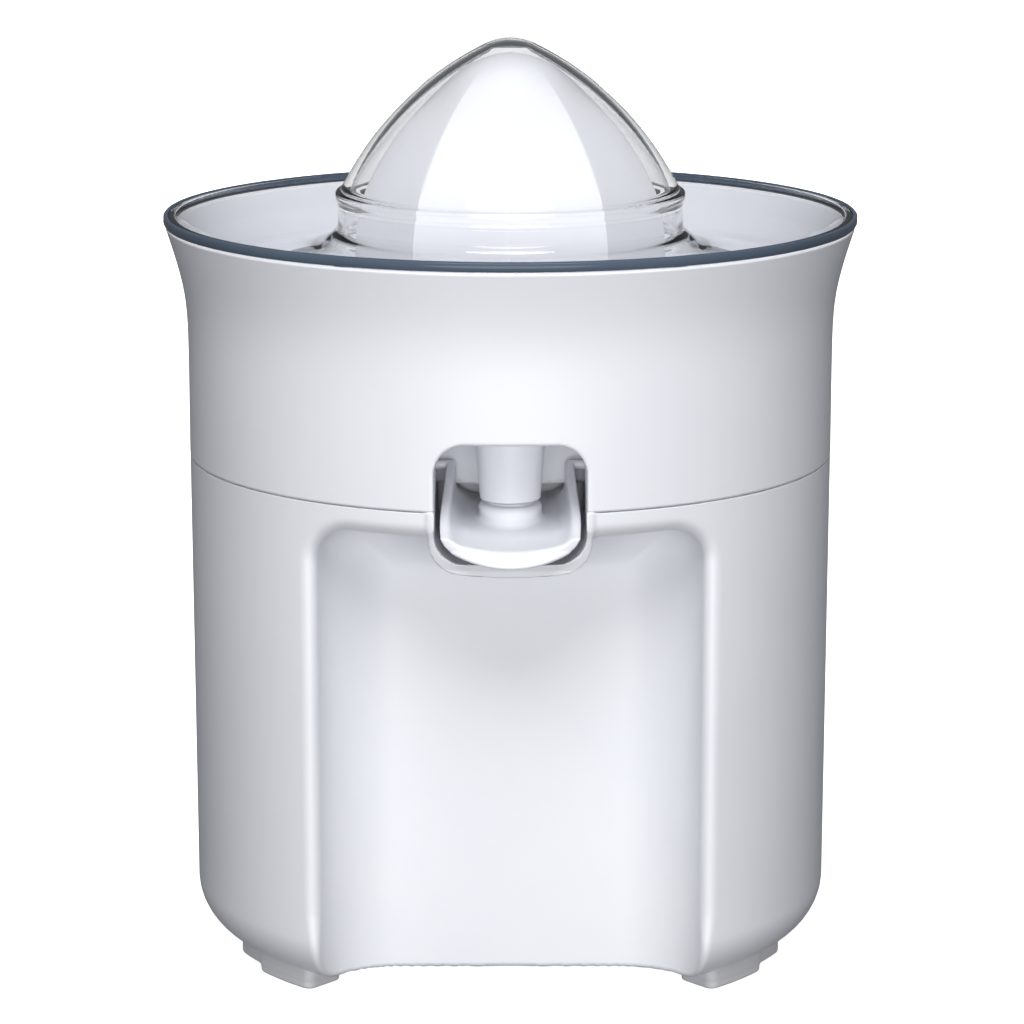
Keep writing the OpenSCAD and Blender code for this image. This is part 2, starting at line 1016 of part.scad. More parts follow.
module drip_plug() {
    color(shell_c)
    lowered()
        translate([0, -nozzle_y, 0])
            rotate_extrude()
                plug_half();
}

// ---------- reamer and cover ----------

// filled half outline of the reamer, set in by the given depth
module reamer_half(inset) {
    intersection() {
        union() {
            square([60, ream_cz + (ream_r - inset) * ream_u / (ream_r - ream_tip)]);
            translate([0, ream_cz + ream_u])
                circle(r = ream_tip - inset);
        }
        translate([dome_cx, ream_cz])
            circle(r = ream_r - inset);
        polygon([
            [0, ream_z], [42.2 - inset, ream_z], [42 - inset, 176], [40.2 - inset, 191],
            [38.6 - inset, 197], [38.6 - inset, 240], [0, 240]
        ]);
    }
}

module reamer_cone() {
    color(shell_c)
    difference() {
        union() {
            difference() {
                union() {
                    rotate_extrude()
                        reamer_half(flute_d);
                    // ridges
                    intersection() {
                        rotate_extrude()
                            reamer_half(0);
                        union() {
                            for (i = [0:ridges - 1])
                                rotate([0, 0, -90 + 360 * i / ridges])
                                    translate([0, -0.7, ream_z])
                                        cube([60, 1.4, 80]);
                            post(0, 0, ream_z, 174.5, 60);
                        }
                    }
                }
                // hollow inside, held by ribs
                difference() {
                    translate([0, 0, -1])
                        rotate_extrude()
                            intersection() {
                                reamer_half(flute_d + 1.8);
                                square([60, 222]);
                            }
                    for (i = [0:4])
                        rotate([0, 0, 72 * i])
                            translate([0, -0.8, 178])
                                cube([60, 1.6, 60]);
                    post(0, 0, 178, 240, 10.5);
                }
            }
            post(0, 0, 164, 200, 10.5);
        }
        hex_bar(163, 182.1, head_hex_r + 0.12);
    }
}

// filled half outline of the dome, set in by the given depth
module dome_half(inset) {
    intersection() {
        union() {
            square([60, dome_cz + (dome_r - inset) * tip_u / (dome_r - tip_r)]);
            translate([0, dome_cz + tip_u])
                circle(r = tip_r - inset);
        }
        translate([dome_cx, dome_cz])
            circle(r = dome_r - inset);
        translate([0, ledge_z - 1.2])
            square([60, 60]);
    }
}

// skirt, annular floor, outer wall and rim bead of the cover
module cover_brim() {
    t = cover_t;
    polygon([
        [43.9, ledge_z], [44.9, ledge_z - 0.3], [44.9, ledge_z - 2], [44.3, ledge_z - 2.5],
        [44.3, 187.2], [44.8, 186.6], [46.2, 185.6], [47.8, 184], [49.4, 182.4], [51, 181.7],
        [76.6, 177.3], [78.8, 177.4], [80.3, 178.8], [82.3, 184], [85.6, 190.4],
        [86.2, 191], [rim_r - 0.6, 191], [rim_r, 190.4], [rim_r, 189], [rim_r - 0.5, 188.4],
        [86.9, 188.4], [84.2, 183.4], [82.2, 178.2], [80.2, 175.7], [76.9, 175.2],
        [51, 181.7 - t - 0.1], [48.6, 180.6], [46.4, 182.6], [45, 184.1], [43.2, 185.1],
        [44.3 - t, 186.6], [44.3 - t, ledge_z], [44.3 - t + 0.2, ledge_z + 0.2]
    ]);
}

module dust_cover() {
    color(clear_c)
    union() {
        difference() {
            rotate_extrude()
                intersection() {
                    dome_half(0);
                    square([60, 260]);
                }
            rotate_extrude()
                intersection() {
                    dome_half(cover_t);
                    square([60, 260]);
                }
            post(0, 0, ledge_z - 2, ledge_z - 1, 42.1);
        }
        rotate_extrude()
            cover_brim();
    }
}

base_housing();
bottom_plate();
foot_pads();
bottom_screws();
cord_inlet();
gear_plate();
gear_plate_screws();
drive_bush();
shaft_seal();
thrust_washer();
idler_axle();
stator_core();
coil_bobbins();
coil_windings();
upper_bracket();
lower_bracket();
motor_bushes();
motor_screws();
switch_body();
switch_screws();
terminal_block();
output_gear();
drive_shaft();
drive_head();
shaft_clip();
return_spring();
idler_gear();
rotor_core();
rotor_shaft();
motor_pinion();
switch_plunger();
juice_collector();
strainer();
spout_scoop();
drip_plug();
reamer_cone();
dust_cover();
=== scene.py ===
import json
import math

import bpy
import numpy as np
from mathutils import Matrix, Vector


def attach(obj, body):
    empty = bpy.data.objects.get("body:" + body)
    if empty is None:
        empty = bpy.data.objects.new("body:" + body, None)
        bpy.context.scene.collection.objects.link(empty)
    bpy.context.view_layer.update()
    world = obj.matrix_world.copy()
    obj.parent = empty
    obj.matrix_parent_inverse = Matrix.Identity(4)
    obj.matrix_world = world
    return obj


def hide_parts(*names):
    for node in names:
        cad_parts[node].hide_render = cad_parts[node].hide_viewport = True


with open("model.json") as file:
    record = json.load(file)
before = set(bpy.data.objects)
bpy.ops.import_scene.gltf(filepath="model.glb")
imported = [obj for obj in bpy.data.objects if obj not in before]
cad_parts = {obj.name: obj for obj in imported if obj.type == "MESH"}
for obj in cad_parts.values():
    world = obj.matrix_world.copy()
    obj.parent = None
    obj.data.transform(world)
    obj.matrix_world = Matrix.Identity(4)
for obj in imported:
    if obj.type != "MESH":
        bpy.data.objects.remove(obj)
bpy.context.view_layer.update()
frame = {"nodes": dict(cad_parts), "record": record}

# Metres in the CAD's frame; lengths in the shape code are millimetres.
MM = 0.001
nodes = frame["nodes"]
scene = bpy.context.scene

# Measures that several shapes share, in millimetres. The front is at -Y.
WALL = 82.5        # radius of the housing WALL_Z above the table
WALL_Z = 18
SEAM = 128.6       # top edge of the housing
SKIRT = 128.75     # bottom edge of the collector
RECESS = 48        # half width of the glass recess, and how far its back wall is from the axis
RECESS_TOP = 122
MOUTH = 18.45      # half width of the spout mouth
PIVOT_Y = -48      # axis that the spout tilts about
PIVOT_Z = 134
NOZZLE_Y = -58     # axis of the juice nozzle
INLET_Z = 24       # axis of the cord inlet at the back
ARC = 30.1         # the side arcs of reamer and cover are centred this far beyond the axis
DOME_R = 82.25     # radius of the cover's side arc
DOME_Z = 160.1     # height of its centre
DOME_RISE = 75.2   # from there up to the tip of the cover
PAD_IN = 65        # radii and angle where a foot's plate ends
PAD_OUT = 76.8
PAD_END = 48.6


# ---------- materials ----------

def material(name, low, high, scale, rough, bump, bump_scale, stretch=(1, 1, 1), **sockets):
    """Shader with noise in its colour and roughness and a fine surface texture."""
    m = bpy.data.materials.new(name)
    m.use_nodes = True
    tree = m.node_tree
    tree.nodes.clear()
    new = tree.nodes.new
    link = tree.links.new
    out = new("ShaderNodeOutputMaterial")
    shader = new("ShaderNodeBsdfPrincipled")
    coord = new("ShaderNodeTexCoord")
    place = new("ShaderNodeMapping")
    place.inputs["Scale"].default_value = stretch
    link(coord.outputs["Object"], place.inputs["Vector"])
    broad = new("ShaderNodeTexNoise")
    broad.inputs["Scale"].default_value = scale
    broad.inputs["Detail"].default_value = 4
    link(place.outputs["Vector"], broad.inputs["Vector"])
    ramp = new("ShaderNodeValToRGB")
    ramp.color_ramp.elements[0].position = 0.3
    ramp.color_ramp.elements[1].position = 0.7
    ramp.color_ramp.elements[0].color = (*low, 1)
    ramp.color_ramp.elements[1].color = (*high, 1)
    link(broad.outputs["Fac"], ramp.inputs["Fac"])
    link(ramp.outputs["Color"], shader.inputs["Base Color"])
    spread = new("ShaderNodeMapRange")
    spread.inputs["To Min"].default_value = rough[0]
    spread.inputs["To Max"].default_value = rough[1]
    link(broad.outputs["Fac"], spread.inputs["Value"])
    link(spread.outputs["Result"], shader.inputs["Roughness"])
    fine = new("ShaderNodeTexNoise")
    fine.inputs["Scale"].default_value = bump_scale
    fine.inputs["Detail"].default_value = 3
    link(place.outputs["Vector"], fine.inputs["Vector"])
    relief = new("ShaderNodeBump")
    relief.inputs["Strength"].default_value = bump
    relief.inputs["Distance"].default_value = 0.0002
    link(fine.outputs["Fac"], relief.inputs["Height"])
    link(relief.outputs["Normal"], shader.inputs["Normal"])
    for key, value in sockets.items():
        shader.inputs[key.replace("_", " ")].default_value = value
    link(shader.outputs["BSDF"], out.inputs["Surface"])
    return m


shell = material("shell", (0.80, 0.815, 0.86), (0.83, 0.84, 0.88), 25, (0.34, 0.42), 0.05, 1400)
pad = material("soft", (0.62, 0.62, 0.65), (0.66, 0.66, 0.69), 80, (0.6, 0.7), 0.15, 1200)
clear = material("clear", (0.98, 0.987, 0.992), (0.99, 0.993, 0.995), 30, (0.0, 0.02), 0.0, 500,
                 IOR=1.49, Transmission_Weight=1.0)
# painted shade: dark blue-grey on the clear rim bead, standing in for the dark edge that refraction
# gives the clear plastic
painted_rim_shade = material("painted_rim_shade", (0.075, 0.10, 0.14), (0.09, 0.12, 0.16), 30, (0.12, 0.2), 0.0, 500,
                 IOR=1.3)
looks = {
    "shell": shell,
    "soft": pad,
    "clear": clear,
    "black_rubber": material("black_rubber", (0.02, 0.02, 0.022), (0.035, 0.035, 0.037), 120,
                             (0.55, 0.7), 0.2, 1500),
    "black_plastic": material("black_plastic", (0.02, 0.02, 0.022), (0.03, 0.03, 0.032), 90,
                              (0.4, 0.5), 0.2, 1800),
    "nylon": material("nylon", (0.70, 0.66, 0.56), (0.76, 0.72, 0.62), 70, (0.38, 0.5), 0.1, 1000),
    "steel": material("steel", (0.50, 0.51, 0.53), (0.62, 0.63, 0.65), 120, (0.22, 0.38), 0.15, 700,
                      (1, 1, 6), Metallic=1.0),
    "lamination": material("lamination", (0.16, 0.17, 0.19), (0.34, 0.35, 0.38), 40, (0.4, 0.55),
                           0.3, 60, (1, 1, 40), Metallic=0.8),
    "bronze": material("bronze", (0.45, 0.30, 0.12), (0.58, 0.40, 0.18), 300, (0.35, 0.5), 0.2,
                       1500, Metallic=1.0),
    "copper": material("copper", (0.42, 0.13, 0.05), (0.58, 0.21, 0.09), 60, (0.22, 0.35), 0.4,
                       160, (8, 1, 1), Metallic=0.9),
    "red_plastic": material("red_plastic", (0.40, 0.02, 0.015), (0.48, 0.03, 0.02), 120,
                            (0.35, 0.45), 0.1, 1500),
}
slots = {s["node"]: s["material_slot"] for s in frame["record"]["subparts"]}
for name, obj in nodes.items():
    obj.data.materials.clear()
    obj.data.materials.append(looks[slots[name]])


# ---------- shape tools ----------

def smooth(x, a, b):
    """Rises from 0 at a to 1 at b without a kink."""
    t = np.clip((x - a) / (b - a), 0, 1)
    return t * t * (3 - 2 * t)


def r_inter(a, b, r):
    """Overlap of two distance fields with its edge rounded to radius r."""
    return np.minimum(np.maximum(a, b), -r) + np.hypot(np.maximum(a + r, 0), np.maximum(b + r, 0))


def r_union(a, b, r):
    """Both fields together with a fillet of radius r."""
    return -r_inter(-a, -b, r)


def r_cut(a, b, r):
    """Field a without field b, its edge rounded to radius r."""
    return r_inter(a, -b, r)


def steps(*parts):
    """Grid lines: a start, then pairs of an end and the step up to it."""
    line = [float(parts[0])]
    for end, step in zip(parts[1::2], parts[2::2]):
        n = max(1, round((end - line[-1]) / step))
        line += list(np.linspace(line[-1], end, n + 1)[1:])
    return np.array(line)


def skin(field, lines, wrap=False):
    """Quad mesh on the zero surface of a field, sampled where three sets of grid lines cross.

    With wrap the first lines are angles in degrees from the front, the second radii. Gives the
    points, the quads and the normals.
    """
    def place(u, v, w):
        if not wrap:
            return u, v, w
        t = np.radians(u)
        return v * np.sin(t), -v * np.cos(t), w

    grid = np.meshgrid(*lines, indexing="ij")
    f = field(*place(*grid))
    if wrap:
        f[-1] = f[0]
    inside = f < 0
    n = [len(k) - 1 for k in lines]
    corners = [(i, j, k) for i in (0, 1) for j in (0, 1) for k in (0, 1)]

    def corner(a, c):
        return a[c[0]:n[0] + c[0], c[1]:n[1] + c[1], c[2]:n[2] + c[2]]

    total = sum(corner(inside, c).astype(np.int8) for c in corners)
    active = (total > 0) & (total < 8)
    where = np.argwhere(active)
    index = np.full(n, -1)
    index[active] = np.arange(len(where))
    found = np.zeros((len(where), 3))
    count = np.zeros(len(where))
    for c in corners:
        for d in range(3):
            if c[d]:
                continue
            e = list(c)
            e[d] = 1
            fa = corner(f, c)[active]
            fb = corner(f, e)[active]
            cross = (fa < 0) != (fb < 0)
            t = fa[cross] / (fa[cross] - fb[cross])
            for k in range(3):
                low = lines[k][where[cross, k] + c[k]]
                high = lines[k][where[cross, k] + e[k]]
                found[cross, k] += low + (high - low) * t
            count[cross] += 1
    found /= count[:, None]
    quads = []
    for d in range(3):
        a, b = [k for k in range(3) if k != d]
        low = [slice(None)] * 3
        high = [slice(None)] * 3
        low[d] = slice(0, -1)
        high[d] = slice(1, None)
        for k in (a, b):
            if not (wrap and k == 0):
                low[k] = high[k] = slice(1, -1)
            else:
                low[k] = high[k] = slice(0, -1)
        first = inside[tuple(low)]
        change = first != inside[tuple(high)]
        at = np.argwhere(change)
        for k in (a, b):
            if not (wrap and k == 0):
                at[:, k] += 1
        ring = []
        for da, db in ((-1, -1), (0, -1), (0, 0), (-1, 0)):
            cell = at.copy()
            cell[:, a] += da
            cell[:, b] += db
            if wrap:
                cell[:, 0] %= n[0]
            ring.append(index[tuple(cell.T)])
        quad = np.stack(ring, 1)
        turn = first[change] ^ (d == 1)
        quad[~turn] = quad[~turn][:, ::-1]
        quads.append(quad)
    points = np.stack(place(*found.T), 1)
    quads = np.concatenate(quads)
    if wrap:
        quads = quads[:, ::-1]
    for _ in range(3):
        value = field(*points.T)
        slope = gradient(field, points)
        move = (value / np.maximum((slope ** 2).sum(1), 0.3))[:, None] * slope
        points -= np.clip(move, -0.6, 0.6)
    return points, quads, gradient(field, points)


def gradient(field, points, e=0.02):
    """Slope of a field at each point, from samples a distance e to both sides."""
    out = np.zeros_like(points)
    for k in range(3):
        high = points.copy()
        high[:, k] += e
        low = points.copy()
        low[:, k] -= e
        out[:, k] = (field(*high.T) - field(*low.T)) / (2 * e)
    return out


def piece(name, points, faces, body, replaced, slot, normals=None, sharp=None, look=None):
    """Mesh object in metres from points in millimetres, riding on a body."""
    mesh = bpy.data.meshes.new(name)
    mesh.from_pydata((np.asarray(points) * MM).tolist(), [], [list(map(int, q)) for q in faces])
    mesh.validate()
    mesh.shade_smooth()
    if sharp:
        mesh.set_sharp_from_angle(angle=math.radians(sharp))
    if normals is not None:
        unit = normals / np.maximum(np.linalg.norm(normals, axis=1), 1e-9)[:, None]
        mesh.normals_split_custom_set_from_vertices(unit.tolist())
    mesh.materials.append(look or looks[slot])
    obj = bpy.data.objects.new(name, mesh)
    scene.collection.objects.link(obj)
    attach(obj, body)
    if replaced:
        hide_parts(*replaced)
    return obj


def lathe(outline, sides):
    """Points and quads of a closed outline (radius, height) turned about the Z axis."""
    outline = np.asarray(outline, float)
    n = len(outline)
    turn = np.radians(np.arange(sides) * 360 / sides)
    points = np.stack([
        np.outer(np.sin(turn), outline[:, 0]),
        -np.outer(np.cos(turn), outline[:, 0]),
        np.tile(outline[:, 1], (sides, 1))], 2).reshape(-1, 3)
    quads = []
    for i in range(sides):
        j = (i + 1) % sides
        for k in range(n):
            m = (k + 1) % n
            if outline[k][0] < 1e-6 and outline[m][0] < 1e-6:
                continue
            quads.append((i * n + k, i * n + m, j * n + m, j * n + k))
    return points, quads


# ---------- base housing ----------

def recess_field(x, y, z):
    """Space at the front that the glass stands in."""
    rec = r_inter(r_inter(np.abs(x) - RECESS, y + RECESS, 20), z - RECESS_TOP, 9)
    return np.maximum(rec, r_inter(y + RECESS, z - RECESS_TOP, 14))


def base_field(x, y, z):
    """Housing with its recess, openings and boss, solid inside where the CAD shell is hollow."""
    r = np.hypot(x, y)
    ax = np.abs(x)
    outer = r - WALL - 0.0045 * (z - WALL_Z)
    rec = recess_field(x, y, z)
    d = r_inter(r_inter(outer, 3 - z, 13), z - SEAM, 0.3)
    d = r_cut(d, rec, 1.2 + 2.8 * np.clip((z - 6) / 16, 0, 1))
    # frame round the lower half of the spout mouth
    cradle = np.maximum(r_inter(ax - 19.85, 112.3 + x * x / 300 - z, 7), y + 36)
    face = (outer + 0.32 * np.clip(124 - z, 0, 10)) * 0.95
    cradle = r_inter(r_inter(cradle, z - SEAM, 0.3), face, 0.3)
    d = r_union(d, cradle, 1.4)
    # ring that the collector drops over, open at the mouth, and boss round the shaft
    ring = np.maximum(r_inter(np.abs(r - 78.95) - 1.25, z - 134, 0.5), 127 - z)
    d = r_union(d, r_cut(ring, np.maximum(ax - 20.65, y + 39.6), 0.4), 0.4)
    boss = np.maximum(r_inter(r - 10, z - 151, 0.8), 120 - z)
    d = r_union(d, boss, 1.5)
    # mouth, shaft bore, opening for the bottom plate, cord inlet
    sill = 115.5 + x * x / 600
    d = r_cut(d, np.maximum(r_inter(ax - MOUTH, sill - z, 6.5), y + 37.5), 0.3)
    d = r_cut(d, np.maximum(r - 7.05, 122 - z), 0.3)
    plate = np.maximum(np.maximum(r - 69.5, z - 5.6), 2.5 - rec)
    d = r_cut(d, plate, 0.2)
    q = np.hypot(x, z - INLET_Z)
    d = r_cut(d, np.maximum(q - 8.3, 82.1 - y), 0.2)
    return r_cut(d, np.maximum(q - 6.1, 40 - y), 0.2)


points, quads, normals = skin(base_field, (
    steps(-180, -172, 0.4, -42, 3.2, -15, 0.9, 15, 0.4, 42, 0.9, 172, 3.2, 180, 0.4),
    steps(4, 12, 0.8, 36, 6, 72, 1.4, 84.6, 0.7),
    steps(1, 12, 1, 34, 0.8, 98, 4, 111, 1, 131, 0.5, 136, 0.8, 149, 2.6, 153, 0.8)), True)
piece("housing", points, quads, "base", ["base_housing"], "shell", normals)


# ---------- feet ----------

def foot_field(x, y, z):
    """One foot: a plate under the rounded edge and a lower pad beneath its inner part."""
    r = np.hypot(x, y)
    a = np.degrees(np.arctan2(-y, x))
    plate = r_inter(np.maximum(PAD_IN - r, r - PAD_OUT),
                    np.maximum(24.6 - a, a - PAD_END) * r / 57.3, 1.8)
    plate = r_inter(np.maximum(plate, z - 9), 1.9 - z, 1.2)
    pad = r_inter(np.maximum(PAD_IN - 0.4 - r, r - PAD_OUT),
                  np.maximum(32.4 - a, a - PAD_END) * r / 57.3, 2.4)
    pad = r_inter(np.maximum(pad, z - 6), -z, 0.9)
    return r_union(plate, pad, 0.6)


one = skin(foot_field, (steps(38, 74, 0.6), steps(-62, -26, 0.6), steps(-0.9, 9.9, 0.45)))
corners = [(1, 1), (-1, 1), (1, -1), (-1, -1)]
points = np.concatenate([one[0] * (i, j, 1) for i, j in corners])
normals = np.concatenate([one[2] * (i, j, 1) for i, j in corners])
quads = np.concatenate([(one[1] if i * j > 0 else one[1][:, ::-1]) + k * len(one[0])
                        for k, (i, j) in enumerate(corners)])
piece("feet", points, quads, "base", ["foot_pads"], "soft", normals)


# ---------- collector ----------

def collector_outer(z):
    """Outer radius: straight below, flaring towards the rim."""
    return 83.05 + 0.33 * 4.4 * np.log1p(np.exp((z - 171.4) / 4.4))


def collector_field(x, y, z):
    """Bowl with its floor, spout mouth, nozzle and shaft tube."""
    r = np.hypot(x, y)
    ax = np.abs(x)
    outer = collector_outer(z)
    thick = 2.4 - 0.6 * np.clip((z - 176) / 6, 0, 1)
    d = r_cut(r - outer, r - (outer - thick), 0.6)
    d = r_inter(r_inter(d, SKIRT - z, 0.3), z - 188.2, 0.8)
    top = 150.4 + (y + 82.8) * math.tan(math.radians(1.2))
    under = 146 + 1.6 * np.clip((45 - r) / 2, 0, 1)
    floor_slab = np.maximum(np.maximum(z - top, under - z), r - 81.5)
    d = r_union(d, floor_slab, 4)
    d = r_union(d, r_inter(np.maximum(r - 13, 147 - z), z - 160.5, 0.8), 2.5)
    # seat on the housing's ring, then the box behind the mouth
    seat = np.maximum(np.abs(z - 135.6) - 1.5, np.abs(r - 79.6) - 2.1)
    d = r_union(d, seat, 0.3)
    box = r_inter(np.maximum(r_inter(ax - 20.25, 112.8 - z, 8.3), y), z - 147.8, 8.3)
    box = np.maximum(np.maximum(box, SKIRT - z), np.maximum(r - 82, 45.8 - r))
    d = r_union(d, box, 0.6)
    d = np.maximum(d, r - outer)
    mouth = np.maximum(r_inter(r_inter(ax - MOUTH, 114.6 - z, 6.5), z - 145.4, 7.4), y)
    d = r_cut(d, r_inter(mouth, 47.6 - r, 1.5), 0.8)
    back = np.maximum(np.maximum(np.abs(r - 46.7) - 1, ax - 18.1), np.maximum(y, z - 146.5))
    d = np.minimum(d, r_inter(back, 127.6 + 0.15 * ax - z, 0.6))
    d = r_cut(d, np.maximum(np.maximum(ax - MOUTH, y + 79), z - 139), 0.3)
    # nozzle with its drain, shaft bore and pivot holes
    q = np.hypot(x, y - NOZZLE_Y)
    nozzle = np.maximum(q - 7.5 - (z - 127.7) * 0.075, z - 149)
    d = r_union(d, r_inter(nozzle, 127.7 - z, 0.4), 3)
    d = r_cut(d, q - 6.3, 0.4)
    d = r_cut(d, np.maximum(r_inter(q - 9.5 - (z - 150.4), 148 - z, 0.2), z - 154), 0.8)
    d = r_cut(d, r - 11, 0.6)
    pin = np.maximum(np.hypot(y - PIVOT_Y, z - PIVOT_Z) - 1.6, np.maximum(17 - ax, ax - 22))
    return r_cut(d, pin, 0.15)


points, quads, normals = skin(collector_field, (
    steps(-180, -34, 3.2, -16, 1, 16, 0.36, 34, 1, 180, 3.2),
    steps(9, 16, 0.8, 37, 3, 50, 0.55, 76, 0.9, 85, 0.6, 92, 0.9),
    steps(126, 148, 0.45, 153, 0.8, 159, 2, 162, 0.7, 186, 2.6, 190, 0.6)), True)
piece("collector", points, quads, "collector", ["juice_collector"], "shell", normals)


# ---------- tilting spout and drip plug ----------

LOWERED = math.radians(-4)


def closed(x, y, z):
    """Where a point of the lowered spout was when it was closed."""
    c, s = math.cos(LOWERED), math.sin(LOWERED)
    dy, dz = y - PIVOT_Y, z - PIVOT_Z
    return x, c * dy - s * dz + PIVOT_Y, s * dy + c * dz + PIVOT_Z


def scoop_field(x, y, z):
    """Lip with a rounded bottom, arms up to the pivot pins, and the plug under the nozzle."""
    x, y, z = closed(x, y, z)
    ax = np.abs(x) + 2.1 * np.clip((y + 84) / 34, 0, 1) * smooth(z, 119, 125)
    c, s = math.cos(math.radians(-3)), math.sin(math.radians(-3))
    tz = s * (y + 86) + c * (z - 118) + 118
    keel = tz - 0.9 * smooth(-np.hypot(x, y), -83.9, -83.1)
    outside = r_inter(ax - 17.9, np.hypot(x, keel - 152.8) - 35, 3.5)
    hollow = r_inter(ax - 15.6, np.hypot(x, tz - 181.8) - 60, 4)
    lean = 0.5 * np.clip(z - 118, -3, 4)
    d = r_inter(outside, (np.hypot(x, y) + lean - 86) * 0.9, 1.1)
    top = np.interp(y, [-90, -86, -80.5, -54, -49, -46], [123.9, 124, 125.4, 133.6, 134.9, 134.9])
    d = r_inter(d, (z - top) * 0.93, 0.5)
    rear = np.maximum(y + 40, np.minimum(y + 46.4, z - 127))
    d = r_inter(d, rear, 0.5)
    d = r_cut(d, hollow, 1.0)
    ends = np.maximum(np.abs(x) - 20.1, 14 - np.abs(x))
    d = r_union(d, np.maximum(np.hypot(y - PIVOT_Y, z - PIVOT_Z) - 1.15, ends), 0.3)
    # plug: a column that flares onto the lip, with a bead and a rounded top in the nozzle
    q = np.hypot(x, y - NOZZLE_Y)
    plug = np.maximum(q - 7.2 - 4.5 * np.exp(-np.maximum(z - 121.4, -1) / 1.7), z - 126)
    plug = np.maximum(plug, q - 16)
    bead = np.hypot((q - 5.9) * 0.85, z - 126.0) - 1.7
    plug = r_union(plug, bead, 0.3)
    stem = np.maximum(q - 6.0, z - 129.2 + (q / 6.0) ** 4 * 1.2)
    plug = r_union(plug, stem, 0.4)
    plug = np.maximum(plug, 119.5 - z)
    return r_union(d, plug, 0.7)


points, quads, normals = skin(scoop_field, (
    steps(-21, 21, 0.42), steps(-88, -38, 0.42), steps(112, 140, 0.42)))
piece("scoop", points, quads, "spout", ["spout_scoop", "drip_plug"], "shell", normals)


# ---------- reamer ----------

def cone_outline(rows):
    """Radius and height down the outside of the reamer: a round tip, an arc and a straight foot."""
    ball, centre = 23.13, 207.67
    tip = [(ball * math.sin(a), centre + ball * math.cos(a)) for a in np.linspace(0, 0.607, 14)]
    high = np.linspace(226.6, 171.6, rows)
    arc = -ARC + np.sqrt(75.84 ** 2 - (high - 164.4) ** 2)
    line = 42.2 - 0.1026 * (high - 171.5)
    low = np.minimum(arc, line)
    soft = low - 0.7 * np.log1p(np.exp(-np.abs(arc - line) / 0.7))
    return np.array(tip + list(zip(soft, high)))


outline = cone_outline(110)
sides = 360
theta = np.arange(sides) * 360 / sides
# ten ridges low down, of which every second one runs on towards the tip
t10 = 1 - np.abs(((theta / 36) % 1) * 2 - 1)
t5 = 1 - np.abs((((theta - 36) / 72) % 1) * 2 - 1)
radius, height = outline.T
share = smooth(height, 213, 224)[:, None]
fade = (1 - smooth(height, 221, 229.5))[:, None] * smooth(height, 172.5, 175.5)[:, None]
shallow = (1 - share) * 0.05 * (1 - (1 - t10) ** 2)[None]
deep = share * 0.08 * (1 - (1 - t5) ** 2)[None]
reach = radius[:, None] * (1 - fade * (shallow + deep))
spin = np.radians(theta)
outer = np.stack([reach * np.sin(spin), -reach * np.cos(spin),
                  np.repeat(height[:, None], sides, 1)], 2)
# inner wall, with every fourth row of the outer one
inner_r = np.maximum(radius * 0.925 - 2.2, 0)[::-1]
inner_z = np.minimum(height - 2.4, 226)[::-1]
inner_z[0] = 171.6
inner = np.stack([np.outer(inner_r, np.sin(spin)), -np.outer(inner_r, np.cos(spin)),
                  np.repeat(inner_z[:, None], sides, 1)], 2)[::4]
rows = np.concatenate([outer, inner])
points = rows.reshape(-1, 3)
quads = []
for i in range(len(rows) - 1):
    for k in range(sides):
        m = (k + 1) % sides
        quads.append((i * sides + k, (i + 1) * sides + k, (i + 1) * sides + m, i * sides + m))
piece("cone", points, quads, "reamer", ["reamer_cone"], "shell", None, 32)


def hub_field(x, y, z):
    """Tube inside the reamer with the hexagonal socket for the drive head."""
    r = np.hypot(x, y)
    d = r_inter(np.maximum(r - 10.5, z - 216), 164 - z, 0.5)
    hexagon = np.maximum(np.abs(x) * 0.866 + np.abs(y) * 0.5, np.abs(y)) - 7.12 * 0.866
    return r_cut(d, np.maximum(hexagon, z - 182), 0.2)


points, quads, normals = skin(hub_field, (
    steps(-12, 12, 0.6), steps(-12, 12, 0.6), steps(162, 186, 0.8, 215, 3, 218, 1)))
piece("cone_hub", points, quads, "reamer", [], "shell", normals)


# ---------- clear cover ----------

def dome(inset, rows):
    """Tip circle and side arc of the dome, from the axis out and down."""
    gap = DOME_R - DOME_RISE
    rise = (ARC ** 2 - gap ** 2) / (2 * gap)
    tip = DOME_RISE - rise
    lean = math.atan2(ARC, rise)
    top = [((tip - inset) * math.sin(a), DOME_Z + rise + (tip - inset) * math.cos(a))
           for a in np.linspace(0, lean, 16)]
    foot = 196.6
    end = math.acos((foot - DOME_Z) / (DOME_R - inset))
    side = [(-ARC + (DOME_R - inset) * math.sin(a), DOME_Z + (DOME_R - inset) * math.cos(a))
            for a in np.linspace(lean, end, rows)[1:]]
    return top + side


# from the dome's foot out along the top of the rim and back underneath it
brim = [
    (44.9, 196.2), (45.0, 194.6), (44.3, 193.6), (44.3, 187.4), (45.2, 186.0), (47.2, 184.4),
    (49.2, 182.5), (51.2, 181.7), (76.4, 177.3), (78.9, 177.2), (80.5, 178.9), (82.4, 184.2),
    (85.5, 190.0), (86.2, 190.7), (87.7, 190.7), (88.0, 190.0), (88.0, 189.2), (87.8, 188.7),
    (87.0, 188.4), (84.2, 183.4), (82.2, 178.2), (80.2, 175.7), (76.9, 175.2), (51, 179.6),
    (48.6, 180.6), (46.4, 182.6), (45, 184.1), (43.2, 185.1), (42.3, 186.6), (42.3, 196.0)]
outline = np.array(dome(0, 22) + brim + dome(2, 22)[::-1])
for _ in range(2):
    # round every corner but the two on the axis
    a, b = outline[:-1], outline[1:]
    cut = np.stack([0.78 * a + 0.22 * b, 0.22 * a + 0.78 * b], 1).reshape(-1, 2)
    outline = np.concatenate([outline[:1], cut, outline[-1:]])
points, quads = lathe(outline, 200)
cover = piece("cover", points, quads, "cover", ["dust_cover"], "clear", None, 50)
